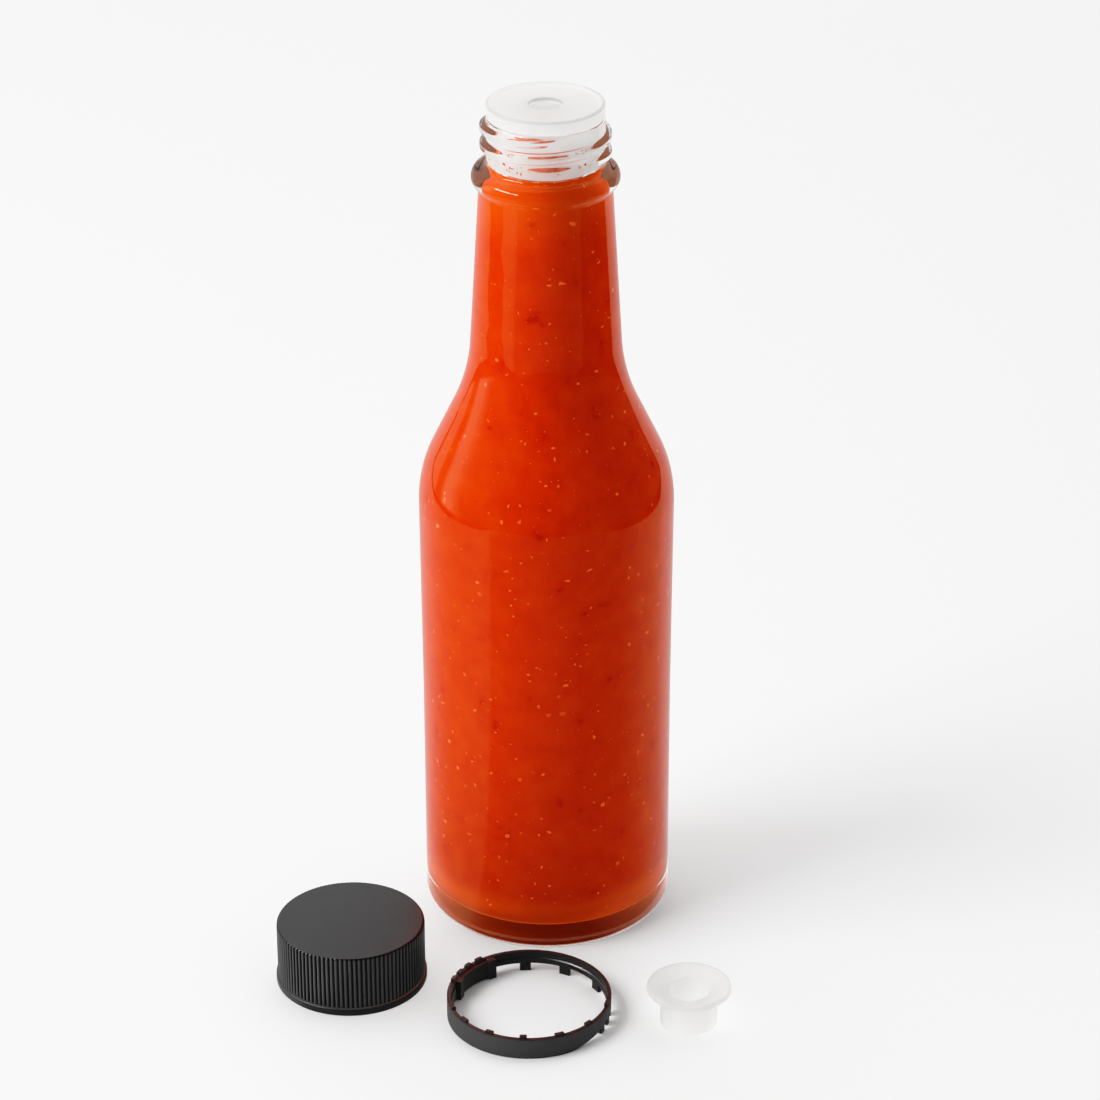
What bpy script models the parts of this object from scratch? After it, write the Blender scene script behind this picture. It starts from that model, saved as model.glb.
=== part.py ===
"""A small glass bottle of hot sauce with its pouring insert fitted, and its screw cap, torn-off
tamper ring and a spare insert lying on the surface in front of it.

Units are metres. The origin is on the bottle's axis, level with the surface it stands on.
Turned pieces are described by their outline, a list of (radius, height) points.
"""

import math

import bmesh
import bpy

# Room between pieces that touch in the real object, and the small rounding of moulded edges
GAP = 0.0003
SMALL_ROUND = 0.0003

# Glass bottle, outside
BODY_RADIUS = 0.0240
BODY_MIDDLE = 0.0480
SHOULDER_SWELL = 0.00028
HEEL_RADIUS = 0.0040
PUSH_UP_HEIGHT = 0.0005
PUSH_UP_RADIUS = 0.0180
SHOULDER_START = 0.0874
SHOULDER_ARC = 0.0260
CONE_ANGLE = math.atan(0.48)
NECK_BLEND_ARC = 0.0350
NECK_ANGLE = math.atan(0.061)
NECK_TOP_RADIUS = 0.0124
NECK_TOP = 0.1495
BEAD_RADIUS = 0.01373
BEAD_HEIGHT = 0.1530
BEAD_ARC = 0.0020
FINISH_RADIUS = 0.01095
FINISH_FILLET = 0.0010
FINISH_START = 0.1560
FINISH_TOP = 0.1644
LIP_ARC = 0.0005

# Glass bottle, inside
WALL = 0.0028
FLOOR_HEIGHT = 0.0051
FLOOR_CORNER = 0.0035
BORE_RADIUS = 0.0070
BORE_END = 0.1530
NECK_BORE_START = 0.1400
NECK_LEVEL_STEP = 0.0030

# Screw thread of the bottle, a right-handed ridge of nearly two turns
THREAD_RADIUS = 0.0121
THREAD_PITCH = 0.0033
THREAD_WIDTH = 0.0024
THREAD_START_DEG = -45.0
THREAD_END_DEG = 645.0
THREAD_START_HEIGHT = 0.15725
THREAD_FADE_DEG = 40.0

# Sauce
SAUCE_LEVEL = 0.1545

# Pouring insert fitted in the bottle
INSERT_RADIUS = 0.01087
INSERT_TOP = 0.1672
INSERT_RIM = 0.0010
INSERT_RECESS = 0.0003
INSERT_HOLE_RADIUS = 0.0031
INSERT_MEMBRANE = 0.0012
INSERT_TUBE_WALL = 0.0012
INSERT_TUBE_END = 0.1550

# Spare insert, on the surface
SPARE_PLACE = (0.02666, -0.04760, 0.0)
SPARE_RADIUS = 0.0080
SPARE_HEIGHT = 0.0087
SPARE_FLANGE = 0.0012
SPARE_DISH_RADIUS = 0.0055
SPARE_DISH_DEPTH = 0.0010
SPARE_HOLE_RADIUS = 0.0040
SPARE_TUBE_RADIUS = 0.00544
SPARE_TUBE_ROUND = 0.0008

# Screw cap, standing open side down
CAP_PLACE = (-0.03775, -0.03087, 0.0)
CAP_RADIUS = 0.0142
CAP_LIP_RADIUS = 0.0145
CAP_LIP_HEIGHT = 0.0014
CAP_HEIGHT = 0.0124
CAP_EDGE_ROUND = 0.0005
CAP_RIBS = 100
CAP_RIB_DEPTH = 0.0003
CAP_TOP_THICKNESS = 0.0014
CAP_INNER_RADIUS = 0.0125
CAP_THREAD_DEPTH = 0.0009
CAP_THREAD_START_HEIGHT = 0.0030
CAP_THREAD_TURN_DEG = 540.0

# Tamper ring, torn off the cap. Angles run from +X towards +Y. Its lower edge is cut back
# between feet round the back and right, and its front stands on the whole edge.
RING_PLACE = (-0.0035, -0.0442, 0.0)
RING_RADIUS = 0.0156
RING_WALL = 0.0009
RING_HEIGHT = 0.0042
RING_CUT_HEIGHT = 0.00175
RING_CUT_START_DEG = -70.0
RING_CUT_FULL_DEG = -12.0
RING_CUT_END_DEG = 117.0
STUB_ANGLES_DEG = (130.0, 141.0, 151.0, 162.0, 198.0, 217.0, 241.0, 266.0, 292.0, 317.0, 346.0)
STUB_SPAN_DEG = 7.0
STUB_HEIGHT = 0.0007
WIDE_FOOT_ANGLES_DEG = (31.5, 63.0, 93.0)
WIDE_FOOT_SPAN_DEG = 8.0
NARROW_FOOT_ANGLES_DEG = (-2.0, -14.0, -26.0)
NARROW_FOOT_SPAN_DEG = 5.0
PANEL_SPAN_DEG = (117.5, 162.0)
PANEL_THICKNESS = 0.0006
POST_SPAN_DEG = 6.5
POST_THICKNESS = 0.0010
BLOCK_MARGIN = 0.0001
BLOCK_OVERLAP = 0.0004

# Columns round a full turn
BOTTLE_COLUMNS = 48
CAP_COLUMNS = 50
RING_COLUMNS = 72
INSERT_COLUMNS = 32
THREAD_LEVELS = 20
CAP_THREAD_LEVELS = 14

# Materials: red, green, blue, roughness, transmission
GLASS = ("clear_glass", (0.98, 0.99, 0.99), 0.03, 1.0)
SAUCE = ("hot_sauce", (0.62, 0.07, 0.01), 0.35, 0.0)
NATURAL_PLASTIC = ("natural_plastic", (0.86, 0.87, 0.86), 0.35, 0.3)
BLACK_PLASTIC = ("black_plastic", (0.025, 0.025, 0.025), 0.40, 0.0)


def clear_scene():
    for found in list(bpy.data.objects):
        bpy.data.objects.remove(found, do_unlink=True)


def material(name, colour, roughness, transmission):
    """The named Principled material, made on first use."""
    made = bpy.data.materials.get(name)
    if made:
        return made
    made = bpy.data.materials.new(name)
    made.use_nodes = True
    shader = made.node_tree.nodes["Principled BSDF"]
    shader.inputs["Base Color"].default_value = (*colour, 1.0)
    shader.inputs["Roughness"].default_value = roughness
    shader.inputs["Transmission Weight"].default_value = transmission
    shader.inputs["IOR"].default_value = 1.5
    made.diffuse_color = (*colour, 1.0)
    return made


def arc(centre, radius, start, end, steps):
    """Outline points on a circle, from angle start to angle end, in radians."""
    points = []
    for step in range(steps + 1):
        angle = start + (end - start) * step / steps
        points.append((centre[0] + radius * math.cos(angle), centre[1] + radius * math.sin(angle)))
    return points


def smooth_step(share):
    share = min(1.0, max(0.0, share))
    return share * share * (3.0 - 2.0 * share)


def thread_ridge(angle_deg, height, start_deg, end_deg, start_height):
    """Share of the full thread depth at this angle and height, between 0 and 1."""
    share = 0.0
    turn = angle_deg % 360.0 - 360.0
    while turn <= end_deg:
        if turn >= start_deg:
            middle = start_height + THREAD_PITCH * (turn - start_deg) / 360.0
            from_middle = abs(height - middle) / (THREAD_WIDTH / 2)
            fade = smooth_step(min(turn - start_deg, end_deg - turn) / THREAD_FADE_DEG)
            share = max(share, fade * smooth_step(1.5 * (1.0 - from_middle)))
        turn += 360.0
    return share


def add_level(mesh, radius, height, columns):
    """One ring of vertices. A radius is a number or a function of the angle in degrees."""
    if radius == 0:
        return [mesh.verts.new((0.0, 0.0, height))]
    level = []
    for column in range(columns):
        angle_deg = 360.0 * column / columns
        angle = math.radians(angle_deg)
        size = radius(angle_deg) if callable(radius) else radius
        rise = height(angle_deg) if callable(height) else height
        level.append(mesh.verts.new((size * math.cos(angle), size * math.sin(angle), rise)))
    return level


def join_levels(mesh, lower, upper):
    """Faces between two rings, one of which may be a pole or have a multiple of the columns."""
    many = max(len(lower), len(upper))
    low_share = many // len(lower)
    high_share = many // len(upper)
    for column in range(many):
        after = (column + 1) % many
        corners = [
            lower[column // low_share],
            lower[after // low_share],
            upper[after // high_share],
            upper[column // high_share],
        ]
        mesh.faces.new(list(dict.fromkeys(corners)))


def new_object(name, mesh, finish, place=(0.0, 0.0, 0.0)):
    """A smooth-shaded object of this bmesh, with sharp edges kept sharp."""
    data = bpy.data.meshes.new(name)
    mesh.to_mesh(data)
    mesh.free()
    data.shade_smooth()
    data.set_sharp_from_angle(angle=math.radians(35))
    data.materials.append(material(*finish))
    made = bpy.data.objects.new(name, data)
    made.location = place
    bpy.context.scene.collection.objects.link(made)
    return made


def turned(name, outline, columns, finish, place=(0.0, 0.0, 0.0), closed=False):
    """A solid turned round the Z axis. An open outline starts and ends on the axis, and a
    closed one goes round a section. An entry is (radius, height) or (radius, height, columns),
    and the outline climbs on the outside and falls on the inside."""
    mesh = bmesh.new()
    levels = []
    for entry in outline:
        count = entry[2] if len(entry) == 3 else columns
        levels.append(add_level(mesh, entry[0], entry[1], count))
    if closed:
        levels.append(levels[0])
    for lower, upper in zip(levels, levels[1:]):
        join_levels(mesh, lower, upper)
    return new_object(name, mesh, finish, place)


def neck_radius(height):
    return NECK_TOP_RADIUS + math.tan(NECK_ANGLE) * (NECK_TOP - height)


def neck_blend_centre():
    """Centre of the hollow arc that joins the cone of the shoulder to the neck."""
    shoulder = shoulder_points(0.0, 1)[-1]
    cone_normal = (math.cos(CONE_ANGLE), math.sin(CONE_ANGLE))
    neck_normal = (math.cos(NECK_ANGLE), math.sin(NECK_ANGLE))
    cone_side = shoulder[0] * cone_normal[0] + shoulder[1] * cone_normal[1] + NECK_BLEND_ARC
    neck_side = NECK_TOP_RADIUS * neck_normal[0] + NECK_TOP * neck_normal[1] + NECK_BLEND_ARC
    cross = cone_normal[0] * neck_normal[1] - cone_normal[1] * neck_normal[0]
    radius = (cone_side * neck_normal[1] - neck_side * cone_normal[1]) / cross
    height = (cone_normal[0] * neck_side - neck_normal[0] * cone_side) / cross
    return radius, height


def shoulder_points(inset, steps):
    centre = (BODY_RADIUS + SHOULDER_SWELL - SHOULDER_ARC, SHOULDER_START)
    return arc(centre, SHOULDER_ARC - inset, 0.0, CONE_ANGLE, steps)


def neck_blend_points(inset, steps):
    start = math.pi + CONE_ANGLE
    end = math.pi + NECK_ANGLE
    return arc(neck_blend_centre(), NECK_BLEND_ARC + inset, start, end, steps)


def bore_radius(height, inset):
    """Radius of the bottle's inside in the neck and finish, less inset."""
    share = smooth_step((height - NECK_BORE_START) / (BORE_END - NECK_BORE_START))
    neck = neck_radius(height) - WALL
    return neck + (BORE_RADIUS - neck) * share - inset


def cavity_outline(inset, top):
    """The bottle's inside, from the middle of its floor up to a height, moved in by inset."""
    radius = BODY_RADIUS - WALL - inset
    floor = FLOOR_HEIGHT + inset
    corner = (radius - FLOOR_CORNER, floor + FLOOR_CORNER)
    points = [(0.0, floor)]
    points += arc(corner, FLOOR_CORNER, -math.pi / 2, 0.0, 4)
    points += [(radius, BODY_MIDDLE)]
    points += shoulder_points(WALL + inset, 4)
    points += neck_blend_points(WALL + inset, 4)
    height = NECK_BORE_START
    while height < top:
        points.append((bore_radius(height, inset), height))
        height += NECK_LEVEL_STEP
    points.append((bore_radius(top, inset), top))
    return points


def finish_thread(height):
    """Radius of the threaded wall at one height, as a function of the angle."""

    def radius(angle_deg):
        ridge = thread_ridge(angle_deg, height, THREAD_START_DEG, THREAD_END_DEG, THREAD_START_HEIGHT)
        return FINISH_RADIUS + (THREAD_RADIUS - FINISH_RADIUS) * ridge

    return radius


def make_bottle():
    outline = [(0.0, PUSH_UP_HEIGHT), (PUSH_UP_RADIUS, PUSH_UP_HEIGHT)]
    outline += [(PUSH_UP_RADIUS + 2 * PUSH_UP_HEIGHT, 0.0)]
    outline += arc((BODY_RADIUS - HEEL_RADIUS, HEEL_RADIUS), HEEL_RADIUS, -math.pi / 2, 0.0, 4)
    outline += [(BODY_RADIUS, BODY_MIDDLE)]
    outline += shoulder_points(0.0, 5)
    outline += neck_blend_points(0.0, 5)
    outline += [(NECK_TOP_RADIUS, NECK_TOP)]
    bead = (BEAD_RADIUS - BEAD_ARC, BEAD_HEIGHT)
    outline += arc(bead, BEAD_ARC, math.radians(-60), math.radians(70), 6)
    fillet = (FINISH_RADIUS + FINISH_FILLET, FINISH_START)
    outline += arc(fillet, FINISH_FILLET, math.radians(250), math.radians(180), 2)
    thread_top = FINISH_TOP - LIP_ARC
    for level in range(1, THREAD_LEVELS + 1):
        height = FINISH_START + (thread_top - FINISH_START) * level / THREAD_LEVELS
        outline.append((finish_thread(height), height))
    outline += arc((FINISH_RADIUS - LIP_ARC, thread_top), LIP_ARC, 0.0, math.pi / 2, 2)[1:]
    lip = (BORE_RADIUS + LIP_ARC, thread_top)
    outline += arc(lip, LIP_ARC, math.pi / 2, math.pi, 2)
    outline += reversed(cavity_outline(0.0, BORE_END))
    return turned("glass_bottle", outline, BOTTLE_COLUMNS, GLASS)


def make_sauce():
    outline = cavity_outline(GAP, SAUCE_LEVEL)
    outline.append((0.0, SAUCE_LEVEL))
    return turned("sauce", outline, BOTTLE_COLUMNS, SAUCE)


def make_fitted_insert():
    """A flange on the bottle's lip, with a shallow dish and a tube that plugs the bore."""
    flange_low = FINISH_TOP + GAP
    dish = INSERT_TOP - INSERT_RECESS
    tube_radius = BORE_RADIUS - GAP
    tube_inner = tube_radius - INSERT_TUBE_WALL
    outline = [
        (tube_inner, INSERT_TUBE_END),
        (tube_radius - SMALL_ROUND, INSERT_TUBE_END),
        (tube_radius, INSERT_TUBE_END + SMALL_ROUND),
        (tube_radius, flange_low),
        (INSERT_RADIUS - SMALL_ROUND, flange_low),
        (INSERT_RADIUS, flange_low + SMALL_ROUND),
        (INSERT_RADIUS, INSERT_TOP - SMALL_ROUND),
        (INSERT_RADIUS - SMALL_ROUND, INSERT_TOP),
        (INSERT_RADIUS - INSERT_RIM, INSERT_TOP),
        (INSERT_RADIUS - INSERT_RIM - INSERT_RECESS, dish),
        (INSERT_HOLE_RADIUS, dish),
        (INSERT_HOLE_RADIUS, dish - INSERT_MEMBRANE),
        (tube_inner, dish - INSERT_MEMBRANE),
    ]
    return turned("fitted_insert", outline, INSERT_COLUMNS, NATURAL_PLASTIC, closed=True)


def make_spare_insert():
    """A dished flange on a short tube, with a hole from end to end."""
    flange_low = SPARE_HEIGHT - SPARE_FLANGE
    base = (SPARE_TUBE_RADIUS - SPARE_TUBE_ROUND, SPARE_TUBE_ROUND)
    outline = [(SPARE_HOLE_RADIUS, 0.0)]
    outline += arc(base, SPARE_TUBE_ROUND, -math.pi / 2, 0.0, 2)
    outline += [
        (SPARE_TUBE_RADIUS, flange_low - SPARE_DISH_DEPTH),
        (SPARE_RADIUS - SMALL_ROUND, flange_low),
        (SPARE_RADIUS, flange_low + SMALL_ROUND),
        (SPARE_RADIUS, SPARE_HEIGHT - SMALL_ROUND),
        (SPARE_RADIUS - SMALL_ROUND, SPARE_HEIGHT),
        (SPARE_DISH_RADIUS, SPARE_HEIGHT - SPARE_DISH_DEPTH),
        (SPARE_HOLE_RADIUS, SPARE_HEIGHT - SPARE_DISH_DEPTH - SMALL_ROUND),
    ]
    return turned("spare_insert", outline, INSERT_COLUMNS, NATURAL_PLASTIC, SPARE_PLACE, closed=True)


def cap_thread(height):
    """Radius of the cap's threaded inside at one height, as a function of the angle."""

    def radius(angle_deg):
        ridge = thread_ridge(angle_deg, height, 0.0, CAP_THREAD_TURN_DEG, CAP_THREAD_START_HEIGHT)
        return CAP_INNER_RADIUS - CAP_THREAD_DEPTH * ridge

    return radius


def cap_rib(radius):
    """A wall of upright ribs: every second column stands out."""

    def ribbed(angle_deg):
        column = round(angle_deg * 2 * CAP_RIBS / 360.0)
        return radius - CAP_RIB_DEPTH * (column % 2)

    return ribbed


def make_cap():
    ceiling = CAP_HEIGHT - CAP_TOP_THICKNESS
    outline = [(0.0, ceiling), (CAP_INNER_RADIUS - CAP_EDGE_ROUND, ceiling)]
    for level in range(CAP_THREAD_LEVELS + 1):
        height = (ceiling - CAP_EDGE_ROUND) * (1 - level / CAP_THREAD_LEVELS) + CAP_EDGE_ROUND
        outline.append((cap_thread(height), height))
    rib_low = CAP_LIP_HEIGHT + CAP_RIB_DEPTH
    rib_top = CAP_HEIGHT - CAP_EDGE_ROUND
    outline += [
        (CAP_INNER_RADIUS, 0.0),
        (CAP_LIP_RADIUS - CAP_RIB_DEPTH, 0.0),
        (CAP_LIP_RADIUS, CAP_RIB_DEPTH),
        (CAP_LIP_RADIUS, CAP_LIP_HEIGHT),
        (cap_rib(CAP_LIP_RADIUS), rib_low, 2 * CAP_RIBS),
        (cap_rib(CAP_RADIUS), rib_top, 2 * CAP_RIBS),
        (CAP_RADIUS - CAP_EDGE_ROUND, CAP_HEIGHT),
        (0.0, CAP_HEIGHT),
    ]
    return turned("cap", outline, CAP_COLUMNS, BLACK_PLASTIC, CAP_PLACE)


def ring_low_edge(angle_deg):
    """Height of the tamper ring's lower edge: on the surface in front, cut back elsewhere."""
    turn = (angle_deg - RING_CUT_START_DEG) % 360.0 + RING_CUT_START_DEG
    if turn > RING_CUT_END_DEG:
        return 0.0
    rise = (turn - RING_CUT_START_DEG) / (RING_CUT_FULL_DEG - RING_CUT_START_DEG)
    return RING_CUT_HEIGHT * smooth_step(rise)


def sector(name, inner, outer, low, high, start_deg, end_deg):
    """A block that follows part of a turn, between two radii and two heights."""
    steps = max(1, round((end_deg - start_deg) / 6.0))
    mesh = bmesh.new()
    slices = []
    for step in range(steps + 1):
        angle = math.radians(start_deg + (end_deg - start_deg) * step / steps)
        corners = ((inner, low), (outer, low), (outer, high), (inner, high))
        slices.append(
            [mesh.verts.new((r * math.cos(angle), r * math.sin(angle), z)) for r, z in corners]
        )
    mesh.faces.new(slices[0])
    mesh.faces.new(list(reversed(slices[-1])))
    for before, after in zip(slices, slices[1:]):
        for corner in range(4):
            follow = (corner + 1) % 4
            mesh.faces.new((before[follow], before[corner], after[corner], after[follow]))
    return new_object(name, mesh, BLACK_PLASTIC, RING_PLACE)


def centred(angle_deg, span_deg):
    return angle_deg - span_deg / 2, angle_deg + span_deg / 2


def ring_blocks():
    """The stubs on the upper edge, the feet under the cut edge and the panel inside."""
    inner = RING_RADIUS - RING_WALL
    block_inner = inner + BLOCK_MARGIN
    block_outer = RING_RADIUS - BLOCK_MARGIN
    blocks = []
    stub_low = RING_HEIGHT - BLOCK_OVERLAP
    stub_high = RING_HEIGHT + STUB_HEIGHT
    for angle in STUB_ANGLES_DEG:
        span = centred(angle, STUB_SPAN_DEG)
        blocks.append(sector("stub", block_inner, block_outer, stub_low, stub_high, *span))
    feet = [centred(angle, WIDE_FOOT_SPAN_DEG) for angle in WIDE_FOOT_ANGLES_DEG]
    feet += [centred(angle, NARROW_FOOT_SPAN_DEG) for angle in NARROW_FOOT_ANGLES_DEG]
    foot_high = RING_CUT_HEIGHT + BLOCK_OVERLAP
    for span in feet:
        blocks.append(sector("foot", block_inner, block_outer, 0.0, foot_high, *span))
    panel_start, panel_end = PANEL_SPAN_DEG
    panel_outer = inner + BLOCK_OVERLAP
    panel = (inner - PANEL_THICKNESS, panel_outer, SMALL_ROUND, RING_HEIGHT - BLOCK_OVERLAP)
    post = (inner - POST_THICKNESS, panel_outer, BLOCK_MARGIN, RING_HEIGHT - BLOCK_MARGIN)
    blocks.append(sector("panel", *panel, panel_start, panel_end))
    blocks.append(sector("post", *post, panel_start, panel_start + POST_SPAN_DEG))
    blocks.append(sector("post", *post, panel_end - POST_SPAN_DEG, panel_end))
    return blocks


def make_ring():
    inner = RING_RADIUS - RING_WALL
    outline = [
        (inner, ring_low_edge),
        (RING_RADIUS, ring_low_edge),
        (RING_RADIUS, RING_HEIGHT),
        (inner, RING_HEIGHT),
    ]
    ring = turned("tamper_ring", outline, RING_COLUMNS, BLACK_PLASTIC, RING_PLACE, closed=True)
    operands = bpy.data.collections.new("ring_blocks")
    blocks = ring_blocks()
    for block in blocks:
        bpy.context.scene.collection.objects.unlink(block)
        operands.objects.link(block)
    bpy.context.scene.collection.children.link(operands)
    join = ring.modifiers.new("join", "BOOLEAN")
    join.operation = "UNION"
    join.operand_type = "COLLECTION"
    join.collection = operands
    bpy.context.view_layer.update()
    graph = bpy.context.evaluated_depsgraph_get()
    joined = bpy.data.meshes.new_from_object(ring.evaluated_get(graph))
    ring.modifiers.clear()
    ring.data = joined
    for block in blocks:
        bpy.data.objects.remove(block, do_unlink=True)
    bpy.data.collections.remove(operands)
    return ring


clear_scene()
make_bottle()
make_sauce()
make_fitted_insert()
make_spare_insert()
make_cap()
make_ring()
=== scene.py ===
"""The looks of a small glass bottle of hot sauce, with its screw cap, torn-off tamper ring and a
spare pouring insert lying in front of it. Units are metres. Turned pieces are described by their
outline, a list of (radius, height) rows, as in the solids that they stand for.
"""

import math

import bmesh
import bpy
import numpy as np
from mathutils import Matrix, Vector


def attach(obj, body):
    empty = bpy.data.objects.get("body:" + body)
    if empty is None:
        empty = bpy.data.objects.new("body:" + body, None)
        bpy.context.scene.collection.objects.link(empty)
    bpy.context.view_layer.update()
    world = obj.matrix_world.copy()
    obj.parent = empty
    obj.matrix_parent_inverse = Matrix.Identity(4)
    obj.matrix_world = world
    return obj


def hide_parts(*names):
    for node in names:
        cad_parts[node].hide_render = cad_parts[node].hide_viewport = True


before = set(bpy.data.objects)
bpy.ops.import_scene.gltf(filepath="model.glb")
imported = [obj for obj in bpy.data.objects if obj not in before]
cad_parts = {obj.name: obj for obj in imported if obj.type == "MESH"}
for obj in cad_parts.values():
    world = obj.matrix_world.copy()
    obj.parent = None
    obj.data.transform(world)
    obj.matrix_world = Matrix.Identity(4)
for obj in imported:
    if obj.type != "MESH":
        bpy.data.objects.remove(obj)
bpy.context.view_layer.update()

# Camera
CAMERA_PLACE = (0.0, -0.6859, 0.4231)
CAMERA_PITCH_DEG = 26.83
CAMERA_ROLL = 0.0023
CAMERA_LENS_MM = 131.45
CAMERA_SHIFT_X = 0.00312

# Glass bottle, outside
BODY_RADIUS = 0.0240
BODY_MIDDLE = 0.0480
SHOULDER_SWELL = 0.00028
HEEL_RADIUS = 0.0040
PUSH_UP_HEIGHT = 0.0005
PUSH_UP_RADIUS = 0.0180
SHOULDER_START = 0.0874
SHOULDER_ARC = 0.0260
CONE_DEG = math.degrees(math.atan(0.48))
NECK_BLEND_ARC = 0.0350
NECK_DEG = math.degrees(math.atan(0.061))
NECK_TOP_RADIUS = 0.0124
NECK_TOP = 0.1495
NECK_FILLET = 0.0008
BEAD_RADIUS = 0.01373
BEAD_HEIGHT = 0.1530
BEAD_ARC = 0.0020
FINISH_RADIUS = 0.01095
FINISH_FILLET = 0.0010
FINISH_START = 0.1560
FINISH_TOP = 0.1644
LIP_ARC = 0.0005

# Glass bottle, inside
WALL = 0.0028
FLOOR_HEIGHT = 0.0051
FLOOR_CORNER = 0.0035
BORE_RADIUS = 0.0070
BORE_END = 0.1530
NECK_BORE_START = 0.1400
BORE_STEP = 0.0005

# Screw thread of the bottle
THREAD_RADIUS = 0.0121
THREAD_PITCH = 0.0033
THREAD_WIDTH = 0.0024
THREAD_START_DEG = -45.0
THREAD_END_DEG = 645.0
THREAD_START_HEIGHT = 0.15725
THREAD_FADE_DEG = 40.0
THREAD_LEVELS = 90

# Sauce, which reaches a little way into the glass so that no air shows between them
SAUCE_LEVEL = 0.1545
SAUCE_BITE = 0.00015
SAUCE_EDGE_SWAY = 0.00022
SAUCE_DIP = 0.0004

# Pouring insert fitted in the bottle
GAP = 0.0003
INSERT_RADIUS = 0.01087
INSERT_TOP = 0.1672
INSERT_RIM = 0.0010
INSERT_RECESS = 0.0003
INSERT_HOLE_RADIUS = 0.0031
INSERT_MEMBRANE = 0.0012
INSERT_TUBE_WALL = 0.0012
INSERT_TUBE_END = 0.1550

# Spare insert, on the surface
SPARE_PLACE = (0.02666, -0.04760, 0.0)
SPARE_RADIUS = 0.0080
SPARE_HEIGHT = 0.0087
SPARE_FLANGE = 0.0012
SPARE_DISH_RADIUS = 0.0055
SPARE_DISH_DEPTH = 0.0010
SPARE_HOLE_RADIUS = 0.0040
SPARE_TUBE_RADIUS = 0.00544
SPARE_TUBE_ROUND = 0.0008

# Screw cap
CAP_PLACE = (-0.03775, -0.03087, 0.0)
CAP_RADIUS = 0.0142
CAP_LIP_RADIUS = 0.0145
CAP_LIP_HEIGHT = 0.0014
CAP_HEIGHT = 0.0124
CAP_RIBS = 100
CAP_RIB_DEPTH = 0.0003
CAP_TOP_THICKNESS = 0.0014
CAP_INNER_RADIUS = 0.0125
CAP_BEVEL = 0.0005
CAP_THREAD_DEPTH = 0.0009
CAP_THREAD_START_HEIGHT = 0.0030
CAP_THREAD_TURN_DEG = 540.0
CAP_THREAD_LEVELS = 60
COLUMNS_PER_RIB = 10

# Tamper ring. Angles run from +X towards +Y.
RING_PLACE = (-0.0035, -0.0442, 0.0)
RING_RADIUS = 0.0156
RING_WALL = 0.0009
RING_HEIGHT = 0.0042
RING_CUT_HEIGHT = 0.00175
RING_CUT_START_DEG = -70.0
RING_CUT_FULL_DEG = -12.0
RING_CUT_END_DEG = 117.0
RING_LEDGE_HEIGHT = 0.00275
RING_LEDGE_DEPTH = 0.0002
RING_SLOT_DEG = (45.0, 60.0)
RING_SLOT_HEIGHTS = (0.00215, 0.00245)
STUB_ANGLES_DEG = (130.0, 141.0, 151.0, 162.0, 198.0, 217.0, 241.0, 266.0, 292.0, 317.0, 346.0)
STUB_SPAN_DEG = 7.0
STUB_HEIGHT = 0.0007
WIDE_FOOT_ANGLES_DEG = (31.5, 63.0, 93.0)
WIDE_FOOT_SPAN_DEG = 8.0
NARROW_FOOT_ANGLES_DEG = (-2.0, -14.0, -26.0)
NARROW_FOOT_SPAN_DEG = 5.0
PANEL_SPAN_DEG = (117.5, 162.0)
PANEL_THICKNESS = 0.0006
POST_SPAN_DEG = 6.5
POST_THICKNESS = 0.0010
BLOCK_MARGIN = 0.0001
BLOCK_OVERLAP = 0.0004

# Columns round a full turn
GLASS_COLUMNS = 288
SAUCE_COLUMNS = 240
INSERT_COLUMNS = 192
RING_COLUMNS = 360
ROUND_STEPS = 4

# Sauce specks, and the seed of every random draw
SEED = 20
PALE_SPECKS = 1500
DARK_FLAKES = 60
BUBBLES = 260
RESIDUE_FLECKS = 90

# Films of sauce between the insert's tube and the bore: height, half width, first and last angle
FILMS = (
    (0.1628, 0.00042, -132.0, -79.0),
    (0.1598, 0.00060, -150.0, -24.0),
    (0.1572, 0.00050, -113.0, -57.0),
)


def arc(centre, radius, start_deg, end_deg, steps):
    """Outline rows on a circle, from one angle to another."""
    angles = np.radians(np.linspace(start_deg, end_deg, steps + 1))
    return [(centre[0] + radius * math.cos(a), centre[1] + radius * math.sin(a)) for a in angles]


def rounded(corners, steps=ROUND_STEPS):
    """An outline through these (radius, height, rounding) corners, each cut by a round one."""
    rows = []
    for index, (radius, height, rounding) in enumerate(corners):
        here = Vector((radius, height))
        inner = 0 < index < len(corners) - 1
        if not rounding or not inner:
            rows.append((radius, height))
            continue
        before = (Vector(corners[index - 1][:2]) - here).normalized()
        after = (Vector(corners[index + 1][:2]) - here).normalized()
        half = before.angle(after) / 2
        centre = here + (before + after).normalized() * rounding / math.sin(half)
        first = here + before * rounding / math.tan(half) - centre
        last = here + after * rounding / math.tan(half) - centre
        start = math.degrees(math.atan2(first.y, first.x))
        turn = math.degrees(math.atan2(first.cross(last), first.dot(last)))
        rows += arc(centre, rounding, start, start + turn, steps)
    return rows


def smooth_step(share):
    share = np.clip(share, 0.0, 1.0)
    return share * share * (3.0 - 2.0 * share)


def column_angles(columns):
    return 360.0 * np.arange(columns) / columns


def sway(angles_deg, waves, seed):
    """A wave round the turn made of several frequencies, between about -1 and 1."""
    draw = np.random.default_rng(seed)
    total = np.zeros_like(angles_deg)
    for wave in waves:
        total += draw.uniform(0.4, 1.0) * np.sin(np.radians(wave * angles_deg) + draw.uniform(0, 6.28))
    return total / len(waves)


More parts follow.
